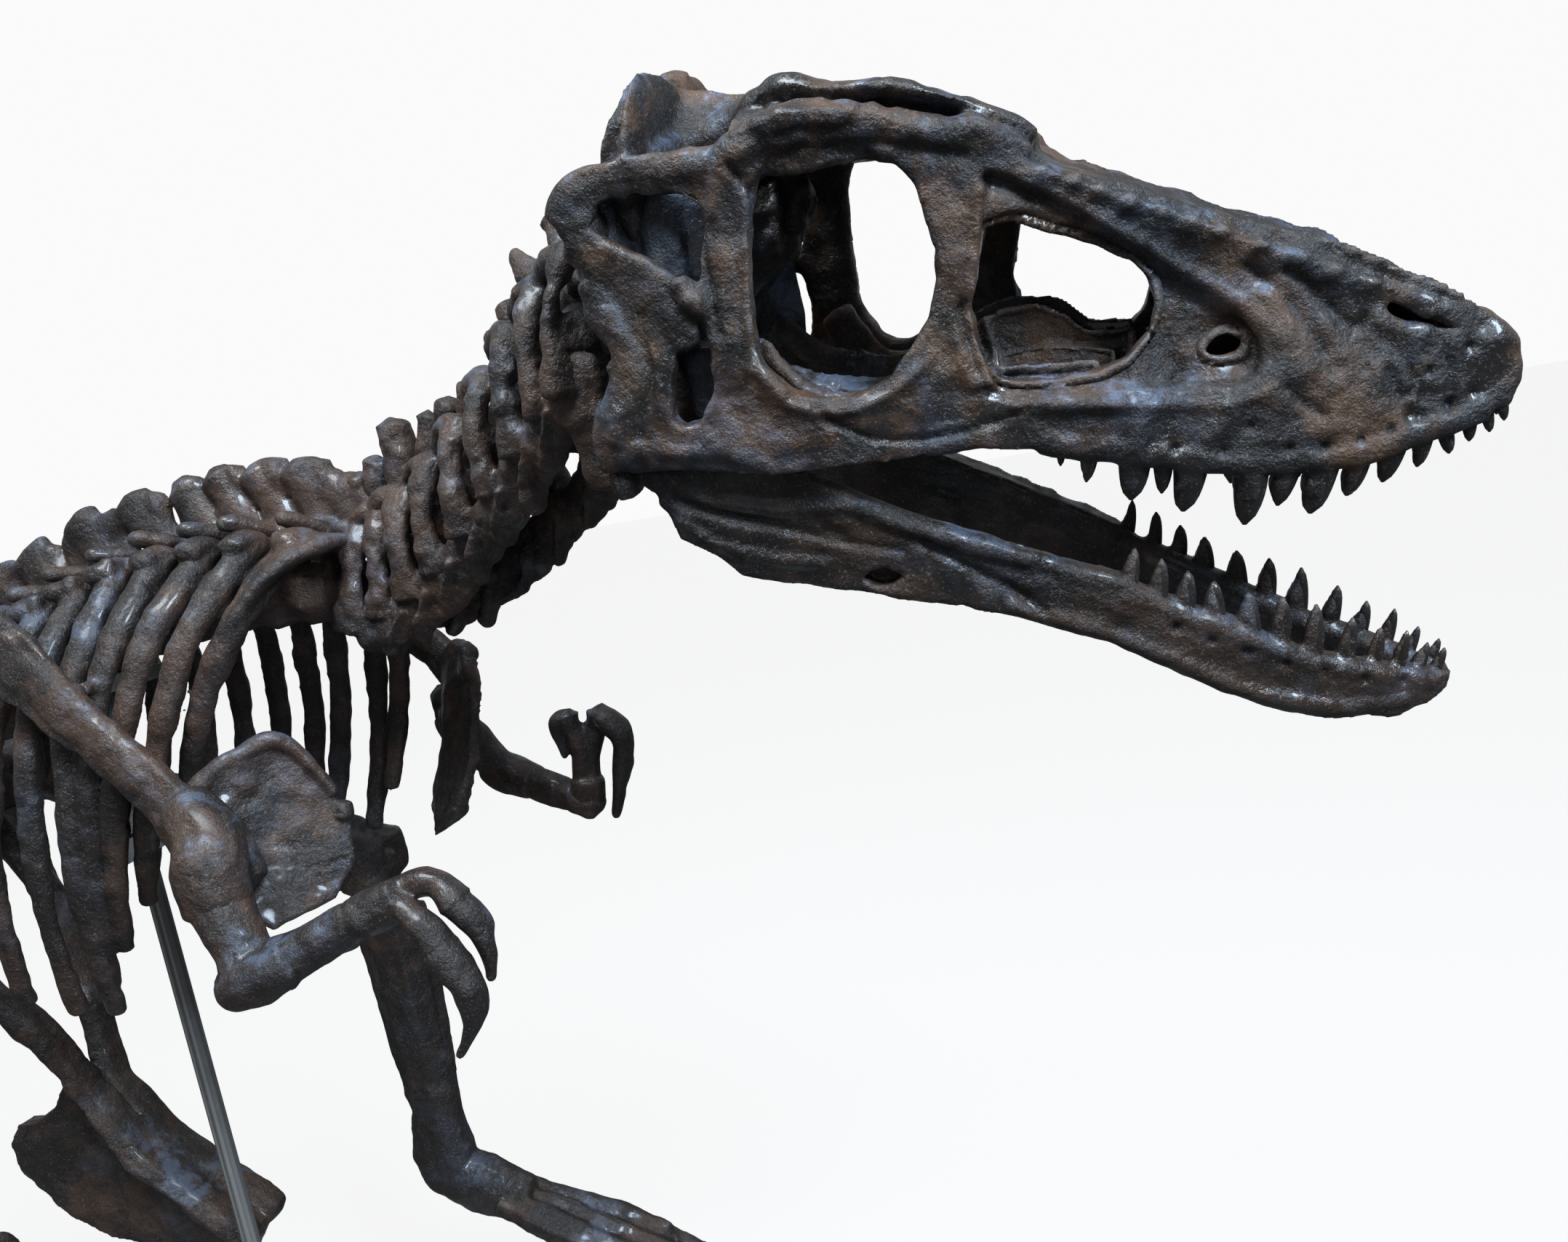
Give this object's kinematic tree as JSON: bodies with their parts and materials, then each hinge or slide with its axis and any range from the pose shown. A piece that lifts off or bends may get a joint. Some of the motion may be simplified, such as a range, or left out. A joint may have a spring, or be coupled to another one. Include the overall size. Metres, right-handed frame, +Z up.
{
  "type": "mounted tyrannosaur skeleton",
  "caption": "Life-size mounted skeleton of a large two-legged meat-eating dinosaur, mid stride, jaws open and head turned, on a low floor plate with upright steel rods.",
  "frame": {"origin": "on the floor, under the middle of the box that holds skeleton and mount", "axes": "+X runs from the tail to the snout, +Y to the animal's left, +Z up"},
  "size_m": [6.013, 1.2, 2.3087],
  "materials": {
    "bone": "dark brown fossil bone under a satin varnish, with bluish sheen and rust-brown flecks",
    "skull_bone": "near-black varnished fossil bone with blue-grey mineral patches and brown ridges",
    "mount_steel": "smooth grey-brown paint, satin"
  },
  "bodies": {
    "root": {"skull": "skull_bone", "lower_jaw": "skull_bone", "neck": "bone", "back": "bone", "ribs_right": "bone", "ribs_left": "bone", "hips": "bone", "pubis": "bone", "ischium": "bone", "tail_base": "bone", "tail_middle": "bone", "tail_end": "bone", "shoulder_right": "bone", "upper_arm_right": "bone", "forearm_right": "bone", "hand_right": "bone", "shoulder_left": "bone", "upper_arm_left": "bone", "forearm_left": "bone", "hand_left": "bone", "thigh_left": "bone", "shank_left": "bone", "foot_left": "bone", "thigh_right": "bone", "shank_right": "bone", "foot_right": "bone", "stand_rod_front": "mount_steel", "stand_rod_hips": "mount_steel", "stand_rod_tail": "mount_steel", "stand_base": "mount_steel"}
  },
  "joints": []
}
